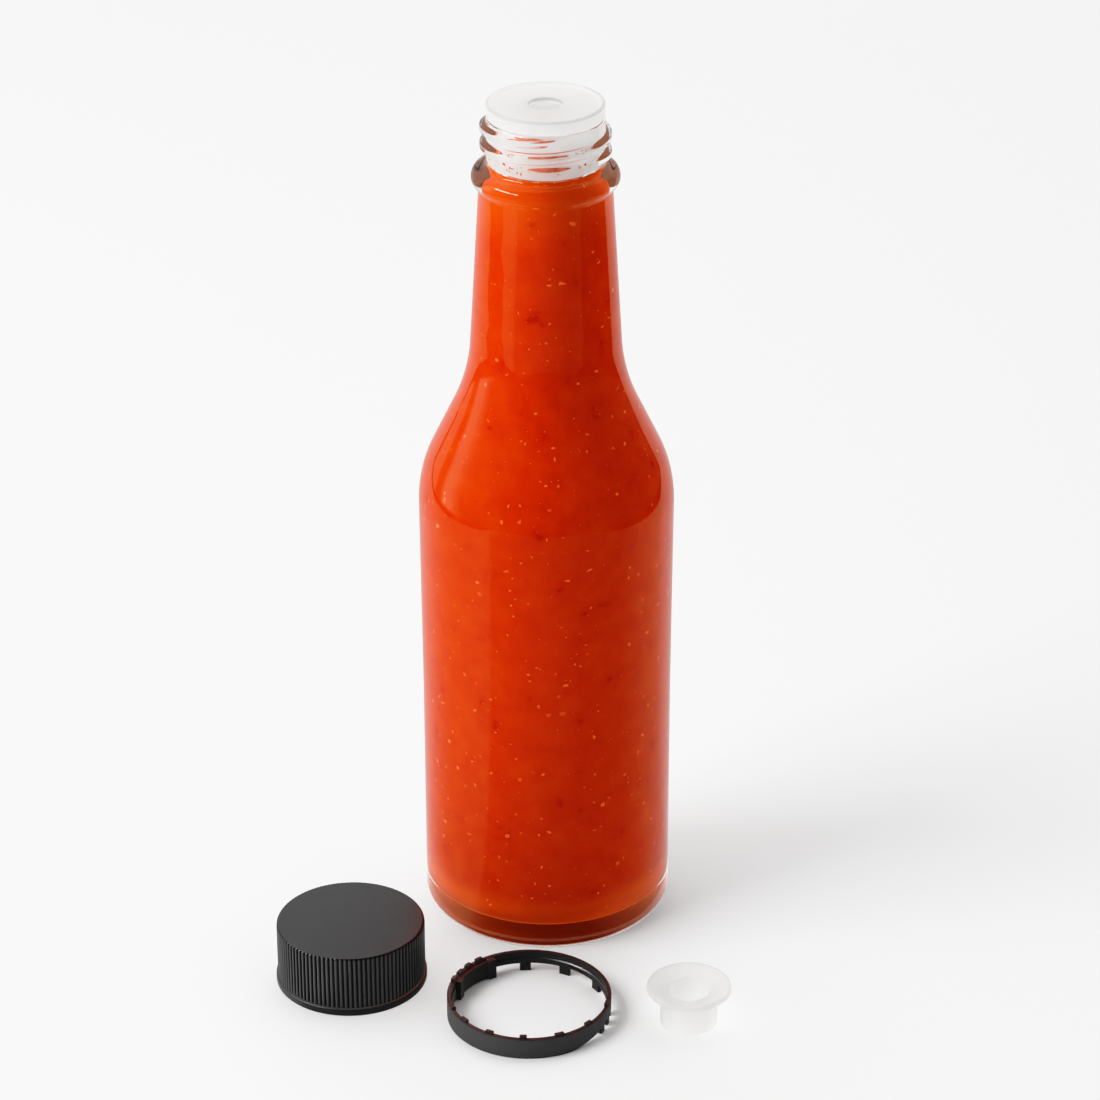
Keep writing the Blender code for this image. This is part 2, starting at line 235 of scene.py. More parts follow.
def thread_ridge(angles_deg, height, start_deg, end_deg, start_height):
    """Share of the full thread depth at these angles and one height, between 0 and 1."""
    share = np.zeros_like(angles_deg)
    turn = angles_deg % 360.0 - 360.0
    while turn.min() <= end_deg:
        middle = start_height + THREAD_PITCH * (turn - start_deg) / 360.0
        from_middle = np.abs(height - middle) / (THREAD_WIDTH / 2)
        fade = smooth_step(np.minimum(turn - start_deg, end_deg - turn) / THREAD_FADE_DEG)
        share = np.maximum(share, fade * smooth_step(1.5 * (1.0 - from_middle)))
        turn = turn + 360.0
    return share


def finish_piece(name, mesh, material, node=None, sharp_deg=35.0):
    """Links a mesh as a piece of the object, smooth-shaded, riding on the one body."""
    mesh.validate()
    mesh.shade_smooth()
    mesh.set_sharp_from_angle(angle=math.radians(sharp_deg))
    mesh.materials.clear()
    mesh.materials.append(material)
    piece = bpy.data.objects.new(name, mesh)
    bpy.context.scene.collection.objects.link(piece)
    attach(piece, "root")
    if node:
        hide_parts(node)
    return piece


def turned_mesh(name, outline, columns, closed=False, place=(0.0, 0.0, 0.0)):
    """A mesh turned round Z. An entry is (radius, height), each a number or one value a column."""
    angles = np.radians(column_angles(columns))
    points = []
    levels = []
    for radius, height in outline:
        first = sum(len(p) for p in points)
        if np.isscalar(radius) and radius == 0:
            points.append(np.array([[0.0, 0.0, height]]))
            levels.append([first])
            continue
        level = np.empty((columns, 3))
        level[:, 0] = radius * np.cos(angles)
        level[:, 1] = radius * np.sin(angles)
        level[:, 2] = height
        points.append(level)
        levels.append(list(range(first, first + columns)))
    if closed:
        levels.append(levels[0])
    faces = []
    for lower, upper in zip(levels, levels[1:]):
        for column in range(columns):
            after = (column + 1) % columns
            corners = (
                lower[column % len(lower)],
                lower[after % len(lower)],
                upper[after % len(upper)],
                upper[column % len(upper)],
            )
            faces.append(tuple(dict.fromkeys(corners)))
    mesh = bpy.data.meshes.new(name)
    mesh.from_pydata((np.concatenate(points) + np.array(place)).tolist(), [], faces)
    return mesh


def shoulder_rows(inset, steps):
    centre = (BODY_RADIUS + SHOULDER_SWELL - SHOULDER_ARC, SHOULDER_START)
    return arc(centre, SHOULDER_ARC - inset, 0.0, CONE_DEG, steps)


def neck_blend_centre():
    """Centre of the hollow arc that joins the cone of the shoulder to the neck."""
    shoulder = shoulder_rows(0.0, 1)[-1]
    cone = math.radians(CONE_DEG)
    neck = math.radians(NECK_DEG)
    cone_side = shoulder[0] * math.cos(cone) + shoulder[1] * math.sin(cone) + NECK_BLEND_ARC
    neck_side = NECK_TOP_RADIUS * math.cos(neck) + NECK_TOP * math.sin(neck) + NECK_BLEND_ARC
    cross = math.sin(neck - cone)
    radius = (cone_side * math.sin(neck) - neck_side * math.sin(cone)) / cross
    height = (math.cos(cone) * neck_side - math.cos(neck) * cone_side) / cross
    return radius, height


def neck_blend_rows(inset, steps):
    centre = neck_blend_centre()
    return arc(centre, NECK_BLEND_ARC + inset, 180.0 + CONE_DEG, 180.0 + NECK_DEG, steps)


def bore_radius(height):
    """Radius of the bottle's inside in the neck and finish."""
    share = float(smooth_step((height - NECK_BORE_START) / (BORE_END - NECK_BORE_START)))
    neck = NECK_TOP_RADIUS + math.tan(math.radians(NECK_DEG)) * (NECK_TOP - height) - WALL
    return neck + (BORE_RADIUS - neck) * share


def cavity_rows(inset, top):
    """The bottle's inside, from the middle of its floor up to a height, moved in by inset."""
    radius = BODY_RADIUS - WALL - inset
    floor = FLOOR_HEIGHT + inset
    corner = (radius - FLOOR_CORNER, floor + FLOOR_CORNER)
    rows = [(0.0, floor), (radius - 2 * FLOOR_CORNER, floor)]
    rows += arc(corner, FLOOR_CORNER, -90.0, 0.0, 16)
    rows += [(radius, BODY_MIDDLE)]
    rows += shoulder_rows(WALL + inset, 16)
    rows += neck_blend_rows(WALL + inset, 16)
    for height in np.arange(NECK_BORE_START, top, BORE_STEP):
        rows.append((bore_radius(height) - inset, height))
    rows.append((bore_radius(top) - inset, top))
    return rows


def bead_rows():
    """The bead under the finish, with the hollow curves that join it to the neck and wall."""
    centre = (BEAD_RADIUS - BEAD_ARC, BEAD_HEIGHT)
    lower = NECK_TOP_RADIUS + NECK_FILLET
    reach = BEAD_ARC + NECK_FILLET
    drop = math.sqrt(reach**2 - (centre[0] - lower) ** 2)
    turn = math.degrees(math.atan2(drop, centre[0] - lower))
    rows = arc((lower, BEAD_HEIGHT - drop), NECK_FILLET, 180.0, turn, 6)
    rows += arc(centre, BEAD_ARC, turn - 180.0, 70.0, 24)[1:]
    fillet = (FINISH_RADIUS + FINISH_FILLET, FINISH_START)
    rows += arc(fillet, FINISH_FILLET, 250.0, 180.0, 6)
    return rows


def make_glass():
    outline = [(0.0, PUSH_UP_HEIGHT), (PUSH_UP_RADIUS, PUSH_UP_HEIGHT)]
    outline += [(PUSH_UP_RADIUS + 2 * PUSH_UP_HEIGHT, 0.0)]
    outline += arc((BODY_RADIUS - HEEL_RADIUS, HEEL_RADIUS), HEEL_RADIUS, -90.0, 0.0, 12)
    outline += [(BODY_RADIUS, BODY_MIDDLE)]
    outline += shoulder_rows(0.0, 16)
    outline += neck_blend_rows(0.0, 16)
    outline += bead_rows()
    thread_top = FINISH_TOP - LIP_ARC
    angles = column_angles(GLASS_COLUMNS)
    for height in np.linspace(FINISH_START, thread_top, THREAD_LEVELS + 1)[1:]:
        ridge = thread_ridge(angles, height, THREAD_START_DEG, THREAD_END_DEG, THREAD_START_HEIGHT)
        outline.append((FINISH_RADIUS + (THREAD_RADIUS - FINISH_RADIUS) * ridge, height))
    outline += arc((FINISH_RADIUS - LIP_ARC, thread_top), LIP_ARC, 0.0, 90.0, 5)[1:]
    outline += arc((BORE_RADIUS + LIP_ARC, thread_top), LIP_ARC, 90.0, 180.0, 5)
    outline += reversed(cavity_rows(0.0, BORE_END))
    mesh = turned_mesh("bottle_glass", outline, GLASS_COLUMNS)
    finish_piece("bottle_glass", mesh, glass_material(), "glass_bottle")


def sauce_top_rows():
    """The sauce's uneven upper edge on the glass and its slightly hollow top."""
    angles = column_angles(SAUCE_COLUMNS)
    edge = bore_radius(SAUCE_LEVEL) + SAUCE_BITE
    ragged = SAUCE_EDGE_SWAY * sway(angles, (3, 5, 11, 17, 29, 43, 61), SEED)
    rows = [(edge, SAUCE_LEVEL + ragged), (edge - 2 * SAUCE_BITE, SAUCE_LEVEL + ragged)]
    for share in (0.9, 0.75, 0.5, 0.25):
        dip = SAUCE_DIP * (1.0 - share**4)
        rows.append((edge * share, SAUCE_LEVEL - dip + ragged * share**3))
    rows.append((0.0, SAUCE_LEVEL - SAUCE_DIP))
    return rows


def make_sauce():
    outline = cavity_rows(-SAUCE_BITE, SAUCE_LEVEL - SAUCE_DIP) + sauce_top_rows()
    mesh = turned_mesh("sauce_fill", outline, SAUCE_COLUMNS)
    finish_piece("sauce_fill", mesh, sauce_material(), "sauce")


def make_fitted_insert():
    flange_low = FINISH_TOP + GAP / 3
    dish = INSERT_TOP - INSERT_RECESS
    tube = BORE_RADIUS + SAUCE_BITE
    tube_inner = tube - INSERT_TUBE_WALL
    rim = INSERT_RADIUS - INSERT_RIM
    outline = rounded(
        [
            (tube_inner, 0.162, 0.0),
            (tube_inner, INSERT_TUBE_END, 0.0003),
            (tube, INSERT_TUBE_END, 0.0004),
            (tube, flange_low, 0.0),
            (INSERT_RADIUS, flange_low, 0.0003),
            (INSERT_RADIUS, INSERT_TOP, 0.00035),
            (rim, INSERT_TOP, 0.0002),
            (rim - INSERT_RECESS, dish, 0.0002),
            (INSERT_HOLE_RADIUS, dish, 0.0003),
            (INSERT_HOLE_RADIUS, dish - INSERT_MEMBRANE, 0.0003),
            (tube_inner, dish - INSERT_MEMBRANE, 0.0004),
        ]
    )
    mesh = turned_mesh("insert_fitted", outline, INSERT_COLUMNS, closed=True)
    plastic = milky_material("natural_plastic_fine", 0.22, lines=True)
    return finish_piece("insert_fitted", mesh, plastic, "fitted_insert")


def make_spare_insert():
    flange_low = SPARE_HEIGHT - SPARE_FLANGE
    dish = SPARE_HEIGHT - SPARE_DISH_DEPTH
    outline = rounded(
        [
            (SPARE_HOLE_RADIUS, 0.0045, 0.0),
            (SPARE_HOLE_RADIUS, 0.0, 0.0003),
            (SPARE_TUBE_RADIUS - 0.0001, 0.0, SPARE_TUBE_ROUND),
            (SPARE_TUBE_RADIUS, flange_low - SPARE_DISH_DEPTH, 0.0004),
            (SPARE_RADIUS, flange_low, 0.0003),
            (SPARE_RADIUS, SPARE_HEIGHT, 0.0005),
            (SPARE_DISH_RADIUS, dish, 0.0006),
            (SPARE_HOLE_RADIUS, dish - GAP, 0.0003),
        ]
    )
    mesh = turned_mesh("insert_spare", outline, INSERT_COLUMNS, closed=True, place=SPARE_PLACE)
    # Its colour is scaled down to 0.86 as painted shade, a darker copy of the fitted insert's plastic.
    plastic = milky_material("natural_plastic_thin_painted_shade", 0.33, shade=0.86)
    piece = finish_piece("insert_spare", mesh, plastic, "spare_insert")
    piece.visible_glossy = False
    piece.visible_shadow = False
    return piece


def rib_wall(radius, depth):
    """Radii of a wall of upright ribs with round crests and narrow grooves."""
    columns = CAP_RIBS * COLUMNS_PER_RIB
    phase = (np.arange(columns) % COLUMNS_PER_RIB) / COLUMNS_PER_RIB
    groove = (0.5 + 0.5 * np.cos(2 * math.pi * phase)) ** 1.6
    return radius - depth * groove


def make_cap():
    columns = CAP_RIBS * COLUMNS_PER_RIB
    angles = column_angles(columns)
    ceiling = CAP_HEIGHT - CAP_TOP_THICKNESS
    outline = [(0.0, ceiling), (CAP_INNER_RADIUS - CAP_BEVEL, ceiling)]
    for height in np.linspace(ceiling - CAP_BEVEL, CAP_BEVEL, CAP_THREAD_LEVELS):
        ridge = thread_ridge(angles, height, 0.0, CAP_THREAD_TURN_DEG, CAP_THREAD_START_HEIGHT)
        outline.append((CAP_INNER_RADIUS - CAP_THREAD_DEPTH * ridge, height))
    outline += rounded(
        [
            (CAP_INNER_RADIUS, CAP_BEVEL / 2, 0.0),
            (CAP_INNER_RADIUS, 0.0, 0.0001),
            (CAP_LIP_RADIUS, 0.0, 0.00025),
            (CAP_LIP_RADIUS, CAP_LIP_HEIGHT, 0.0002),
            (CAP_RADIUS - CAP_RIB_DEPTH, CAP_LIP_HEIGHT + 0.0001, 0.0),
        ]
    )
    rib_low = CAP_LIP_HEIGHT + 0.0002
    rib_top = CAP_HEIGHT - CAP_BEVEL
    outline.append((rib_wall(CAP_RADIUS - 0.0001, CAP_RIB_DEPTH), rib_low))
    outline.append((rib_wall(CAP_RADIUS, CAP_RIB_DEPTH), rib_low + 0.0002))
    for height in np.linspace(rib_low, rib_top - 0.0004, 5)[1:]:
        outline.append((rib_wall(CAP_RADIUS, CAP_RIB_DEPTH), height))
    for radius, height in arc((CAP_RADIUS - CAP_BEVEL, rib_top), CAP_BEVEL, 0.0, 90.0, 8):
        fade = 1.0 - ((height - rib_top) / CAP_BEVEL) ** 2
        outline.append((rib_wall(radius, CAP_RIB_DEPTH * fade), height))
    outline.append((0.0, CAP_HEIGHT))
    mesh = turned_mesh("screw_cap", outline, columns, place=CAP_PLACE)
    plastic = black_plastic("black_plastic_fine", cap_colour)
    piece = finish_piece("screw_cap", mesh, plastic, "cap")
    piece.visible_glossy = False
    piece.visible_shadow = False


def ring_low_edge(angles_deg):
    """Height of the tamper ring's lower edge: on the surface in front, cut back elsewhere."""
    turn = (angles_deg - RING_CUT_START_DEG) % 360.0 + RING_CUT_START_DEG
    rise = (turn - RING_CUT_START_DEG) / (RING_CUT_FULL_DEG - RING_CUT_START_DEG)
    return np.where(turn > RING_CUT_END_DEG, 0.0, RING_CUT_HEIGHT * smooth_step(rise))


def sector(name, inner, outer, low, high, start_deg, end_deg):
    """A block that follows part of a turn, between two radii and two heights."""
    steps = max(2, round(end_deg - start_deg))
    mesh = bmesh.new()
    slices = []
    for angle in np.radians(np.linspace(start_deg, end_deg, steps + 1)):
        turn = Vector((math.cos(angle), math.sin(angle), 0.0))
        corners = ((inner, low), (outer, low), (outer, high), (inner, high))
        slices.append([mesh.verts.new(turn * r + Vector((0.0, 0.0, z))) for r, z in corners])
    mesh.faces.new(slices[0])
    mesh.faces.new(list(reversed(slices[-1])))
    for before, after in zip(slices, slices[1:]):
        for corner in range(4):
            follow = (corner + 1) % 4
            mesh.faces.new((before[follow], before[corner], after[corner], after[follow]))
    data = bpy.data.meshes.new(name)
    mesh.to_mesh(data)
    mesh.free()
    return bpy.data.objects.new(name, data)


def centred(angle_deg, span_deg):
    return angle_deg - span_deg / 2, angle_deg + span_deg / 2


def ring_blocks():
    """The broken bridges on the upper edge, the feet under the cut edge and the panel inside."""
    inner = RING_RADIUS - RING_WALL
    block_inner = inner + BLOCK_MARGIN
    block_outer = RING_RADIUS - BLOCK_MARGIN
    draw = np.random.default_rng(SEED)
    blocks = []
    stub_low = RING_HEIGHT - BLOCK_OVERLAP
    for angle in STUB_ANGLES_DEG:
        span = centred(angle, STUB_SPAN_DEG * draw.uniform(0.7, 1.0))
        top = RING_HEIGHT + STUB_HEIGHT * draw.uniform(0.7, 1.0)
        blocks.append(sector("stub", block_inner, block_outer, stub_low, top, *span))
    feet = [centred(angle, WIDE_FOOT_SPAN_DEG) for angle in WIDE_FOOT_ANGLES_DEG]
    feet += [centred(angle, NARROW_FOOT_SPAN_DEG) for angle in NARROW_FOOT_ANGLES_DEG]
    foot_high = RING_CUT_HEIGHT + BLOCK_OVERLAP
    for span in feet:
        blocks.append(sector("foot", block_inner, block_outer, 0.0, foot_high, *span))
    panel_start, panel_end = PANEL_SPAN_DEG
    panel_outer = inner + BLOCK_OVERLAP
    panel = (inner - PANEL_THICKNESS, panel_outer, GAP, RING_HEIGHT - BLOCK_OVERLAP)
    post = (inner - POST_THICKNESS, panel_outer, BLOCK_MARGIN, RING_HEIGHT - BLOCK_MARGIN)
    blocks.append(sector("panel", *panel, panel_start, panel_end))
    blocks.append(sector("post", *post, panel_start, panel_start + POST_SPAN_DEG))
    blocks.append(sector("post", *post, panel_end - POST_SPAN_DEG, panel_end))
    return blocks


def make_ring():
    angles = column_angles(RING_COLUMNS)
    low = ring_low_edge(angles)
    inner = RING_RADIUS - RING_WALL
    ledge = RING_LEDGE_HEIGHT
    outline = [
        (inner, low),
        (RING_RADIUS, low),
        (RING_RADIUS, RING_HEIGHT),
        (inner + RING_LEDGE_DEPTH, RING_HEIGHT),
        (inner + RING_LEDGE_DEPTH, ledge + RING_LEDGE_DEPTH),
        (inner, ledge),
    ]
    mesh = turned_mesh("tamper_ring_body", outline, RING_COLUMNS, closed=True)
    ring = bpy.data.objects.new("ring_union", mesh)
    bpy.context.scene.collection.objects.link(ring)
    operands = bpy.data.collections.new("ring_blocks")
    bpy.context.scene.collection.children.link(operands)
    blocks = ring_blocks()
    for block in blocks:
        operands.objects.link(block)
    join = ring.modifiers.new("join", "BOOLEAN")
    join.operation = "UNION"
    join.operand_type = "COLLECTION"
    join.collection = operands
    slot = sector("slot", inner - GAP, RING_RADIUS + GAP, *RING_SLOT_HEIGHTS, *RING_SLOT_DEG)
    bpy.context.scene.collection.objects.link(slot)
    cut = ring.modifiers.new("slot", "BOOLEAN")
    cut.operation = "DIFFERENCE"
    cut.object = slot
    bevel = ring.modifiers.new("edges", "BEVEL")
    bevel.width = 0.00009
    bevel.segments = 2
    bevel.limit_method = "ANGLE"
    bevel.angle_limit = math.radians(40)
    bpy.context.view_layer.update()
    graph = bpy.context.evaluated_depsgraph_get()
    joined = bpy.data.meshes.new_from_object(ring.evaluated_get(graph))
    joined.transform(Matrix.Translation(RING_PLACE))
    for made in [ring, slot, *blocks]:
        bpy.data.objects.remove(made, do_unlink=True)
    bpy.data.collections.remove(operands)
    # The ring's paler outside is a painted reflection of the floor.
    plastic = black_plastic("black_plastic_painted_sheen", ring_colour)
    piece = finish_piece("tamper_ring_fine", joined, plastic, "tamper_ring")
    piece.visible_glossy = False


def unit_blob():
    """Points and faces of a small round body, to be stretched and scattered."""
    mesh = bmesh.new()
    bmesh.ops.create_icosphere(mesh, subdivisions=1, radius=1.0)
    mesh.verts.ensure_lookup_table()
    points = np.array([v.co[:] for v in mesh.verts])
    faces = np.array([[v.index for v in f.verts] for f in mesh.faces])
    mesh.free()
    return points, faces


def places_on(draw, count, rows):
    """Random places on a turned outline: points, outward normals and directions round it."""
    rows = np.array(rows)
    lengths = np.hypot(*np.diff(rows, axis=0).T)
    weights = lengths * (rows[1:, 0] + rows[:-1, 0])
    spans = draw.choice(len(lengths), size=count, p=weights / weights.sum())
    along = draw.uniform(0, 1, count)[:, None]
    places = rows[spans] + (rows[spans + 1] - rows[spans]) * along
    slopes = (rows[spans + 1] - rows[spans]) / lengths[spans][:, None]
    turn = draw.uniform(0, 2 * math.pi, count)
    outward = np.stack([slopes[:, 1] * np.cos(turn), slopes[:, 1] * np.sin(turn), -slopes[:, 0]], 1)
    around = np.stack([-np.sin(turn), np.cos(turn), np.zeros(count)], 1)
    points = np.stack([places[:, 0] * np.cos(turn), places[:, 0] * np.sin(turn), places[:, 1]], 1)
    return points, outward, around


def scatter(name, material, draw, places, sizes, thickness, rise):
    """One mesh of many small uneven bodies lying flat on a surface, sunk to a given rise."""
    unit, unit_faces = unit_blob()
    points, outward, around = places
    upward = np.cross(outward, around)
    all_points = []
    all_faces = []
    for index, size in enumerate(sizes):
        spin = draw.uniform(0, math.pi)
        long_side = around[index] * math.cos(spin) + upward[index] * math.sin(spin)
        wide_side = np.cross(outward[index], long_side)
        slim = draw.uniform(0.45, 1.0)
        lumps = 1.0 + draw.uniform(-0.22, 0.22, len(unit))[:, None]
        local = unit * lumps * np.array([size / 2, size / 2 * slim, thickness / 2])
        body = local[:, :1] * long_side + local[:, 1:2] * wide_side + local[:, 2:] * outward[index]
        centre = points[index] + outward[index] * (rise - thickness / 2)
        all_faces.append(unit_faces + len(unit) * index)
        all_points.append(body + centre)
    mesh = bpy.data.meshes.new(name)
    mesh.from_pydata(np.concatenate(all_points).tolist(), [], np.concatenate(all_faces).tolist())
    return finish_piece(name, mesh, material, sharp_deg=80.0)


def make_specks():
    draw = np.random.default_rng(SEED)
    low = FLOOR_HEIGHT + FLOOR_CORNER / 2
    high = SAUCE_LEVEL - 0.001
    side = [row for row in cavity_rows(-SAUCE_BITE, high) if row[1] >= low]
    places = places_on(draw, PALE_SPECKS, side)
    sizes = 0.00040 + 0.0011 * draw.uniform(0, 1, PALE_SPECKS) ** 3
    scatter("sauce_specks", speck_material(), draw, places, sizes, 0.00016, 0.00003)
    places = places_on(draw, DARK_FLAKES, side)
    sizes = 0.0003 + 0.0009 * draw.uniform(0, 1, DARK_FLAKES) ** 2
    scatter("sauce_flakes", flake_material(), draw, places, sizes, 0.00016, 0.00002)


def make_foam():
    """Small bubbles along the sauce's upper edge and flecks left on the bore above it."""
    draw = np.random.default_rng(SEED + 1)
    edge = bore_radius(SAUCE_LEVEL) + SAUCE_BITE
    line = [(edge, SAUCE_LEVEL - 0.0002), (edge, SAUCE_LEVEL + 0.0003)]
    places = places_on(draw, BUBBLES, line)
    sizes = 0.00018 + 0.00045 * draw.uniform(0, 1, BUBBLES) ** 2
    scatter("sauce_bubbles", foam_material(), draw, places, sizes, 0.0003, 0.0001)
    wall = [(BORE_RADIUS + SAUCE_BITE, 0.1558), (BORE_RADIUS + SAUCE_BITE, 0.1574)]
    places = places_on(draw, RESIDUE_FLECKS, wall)
    sizes = 0.00015 + 0.0005 * draw.uniform(0, 1, RESIDUE_FLECKS) ** 2
    scatter("sauce_residue", residue_material(), draw, places, sizes, 0.00016, 0.00008)


def make_films():
    """Thin uneven films of sauce on the insert's tube, seen through the thread."""
    draw = np.random.default_rng(SEED + 2)
    radius = BORE_RADIUS + SAUCE_BITE
    points = []
    faces = []
    for height, half, start_deg, end_deg in FILMS:
        steps = round(end_deg - start_deg)
        first = len(points)
        for step in range(steps + 1):
            share = step / steps
            angle = math.radians(start_deg + (end_deg - start_deg) * share)
            width = half * (0.1 + 0.9 * math.sin(math.pi * share) ** 0.7)
            low = height - width * draw.uniform(0.85, 1.0)
            high = height + width * draw.uniform(0.85, 1.0)
            inner = radius - 0.00006
            outer = radius + 0.00006
            for r, z in ((inner, low), (outer, low), (outer, high), (inner, high)):
                points.append((r * math.cos(angle), r * math.sin(angle), z))
        for step in range(steps):
            corner = first + 4 * step
            for side in range(4):
                follow = (side + 1) % 4
                faces.append((corner + side, corner + 4 + side, corner + 4 + follow, corner + follow))
        faces.append(tuple(range(first, first + 4)))
        faces.append(tuple(reversed(range(len(points) - 4, len(points)))))
    mesh = bpy.data.meshes.new("sauce_films")
    mesh.from_pydata(points, [], faces)
    finish_piece("sauce_films", mesh, film_material())


def nodes_of(name):
    """A new material with its node tree, emptied."""
    made = bpy.data.materials.new(name)
    made.use_nodes = True
    tree = made.node_tree
    tree.nodes.clear()
    return made, tree


def add_node(tree, kind, **values):
    """A node with the given settings. A value whose name is a socket's goes to that socket."""
    node = tree.nodes.new(kind)
    for key, value in values.items():
        if hasattr(node, key):
            setattr(node, key, value)
        else:
            node.inputs[key.replace("_", " ")].default_value = value
    return node


def principled(tree, colour, roughness, **values):
    shader = tree.nodes.new("ShaderNodeBsdfPrincipled")
    shader.inputs["Base Color"].default_value = (*colour, 1.0)
    shader.inputs["Roughness"].default_value = roughness
    for key, value in values.items():
        shader.inputs[key.replace("_", " ")].default_value = value
    return shader


def output(tree, socket):
    out = tree.nodes.new("ShaderNodeOutputMaterial")
    tree.links.new(socket, out.inputs["Surface"])


def noise(tree, scale, detail=3.0, roughness=0.55):
    """Noise in the object's own coordinates, with its size in features a metre."""
    place = tree.nodes.new("ShaderNodeTexCoord")
    made = add_node(tree, "ShaderNodeTexNoise", Scale=scale, Detail=detail, Roughness=roughness)
    tree.links.new(place.outputs["Object"], made.inputs["Vector"])
    return made.outputs["Fac"]


def ramp(tree, source, stops):
    """A colour ramp through (position, colour) stops, fed by source."""
    made = tree.nodes.new("ShaderNodeValToRGB")
    band = made.color_ramp
    for index, (place, colour) in enumerate(stops):
        stop = band.elements[index] if index < 2 else band.elements.new(place)
        stop.position = place
        stop.color = (*colour, 1.0)
    tree.links.new(source, made.inputs["Fac"])
    return made.outputs["Color"]


def span(tree, source, low, high, to_low=0.0, to_high=1.0):
    """Source mapped from one range to another, clamped."""
    made = tree.nodes.new("ShaderNodeMapRange")
    made.interpolation_type = "SMOOTHSTEP"
    for key, value in (("From Min", low), ("From Max", high), ("To Min", to_low), ("To Max", to_high)):
        made.inputs[key].default_value = value
    tree.links.new(source, made.inputs["Value"])
    return made.outputs["Result"]


def blend(tree, factor, first, second):
    """A colour mix of two sockets or plain colours."""
    made = add_node(tree, "ShaderNodeMix", data_type="RGBA")
    tree.links.new(factor, made.inputs["Factor"])
    for key, side in (("A", first), ("B", second)):
        if isinstance(side, tuple):
            made.inputs[key].default_value = (*side, 1.0)
        else:
            tree.links.new(side, made.inputs[key])
    return made.outputs["Result"]


def both(tree, first, second):
    """The product of two factors."""
    made = add_node(tree, "ShaderNodeMath", operation="MULTIPLY")
    tree.links.new(first, made.inputs[0])
    tree.links.new(second, made.inputs[1])
    return made.outputs[0]


def radial(tree, centre=(0.0, 0.0, 0.0)):
    """Distance from the upright line through a point, and height, in the object's coordinates."""
    place = tree.nodes.new("ShaderNodeTexCoord")
    shift = add_node(tree, "ShaderNodeVectorMath", operation="SUBTRACT")
    shift.inputs[1].default_value = centre
    tree.links.new(place.outputs["Object"], shift.inputs[0])
    level = add_node(tree, "ShaderNodeVectorMath", operation="MULTIPLY")
    level.inputs[1].default_value = (1.0, 1.0, 0.0)
    tree.links.new(shift.outputs["Vector"], level.inputs[0])
    away = add_node(tree, "ShaderNodeVectorMath", operation="LENGTH")
    tree.links.new(level.outputs["Vector"], away.inputs[0])
    split = tree.nodes.new("ShaderNodeSeparateXYZ")
    tree.links.new(shift.outputs["Vector"], split.inputs[0])
    return away.outputs["Value"], split.outputs["Z"]


def bump(tree, source, strength, distance, shader):
    made = tree.nodes.new("ShaderNodeBump")
    made.inputs["Strength"].default_value = strength
    made.inputs["Distance"].default_value = distance
    tree.links.new(source, made.inputs["Height"])
    tree.links.new(made.outputs["Normal"], shader.inputs["Normal"])


def plain(tree, colour):
    """A dull surface of one colour."""
    made = tree.nodes.new("ShaderNodeBsdfDiffuse")
    made.inputs["Color"].default_value = (*colour, 1.0)
    return made.outputs["BSDF"]


def by_ray(tree, ray, surface, other):
    """The surface, with another in its place for one kind of ray."""
    path = tree.nodes.new("ShaderNodeLightPath")
    mix = tree.nodes.new("ShaderNodeMixShader")
    tree.links.new(path.outputs[ray], mix.inputs[0])
    tree.links.new(surface, mix.inputs[1])
    tree.links.new(other, mix.inputs[2])
    return mix.outputs["Shader"]


def glass_material():
    """Clear glass. Lamps and light scattered by the sauce pass straight through it."""
    made, tree = nodes_of("clear_glass_fine")
    shader = principled(tree, (1.0, 1.0, 1.0), 0.0, Transmission_Weight=1.0, IOR=1.5)
    bump(tree, noise(tree, 90.0, 1.0), 0.06, 0.001, shader)
    clear = tree.nodes.new("ShaderNodeBsdfTransparent").outputs["BSDF"]
    surface = by_ray(tree, "Is Shadow Ray", shader.outputs["BSDF"], clear)
    surface = by_ray(tree, "Is Diffuse Ray", surface, clear)
    output(tree, surface)
    return made


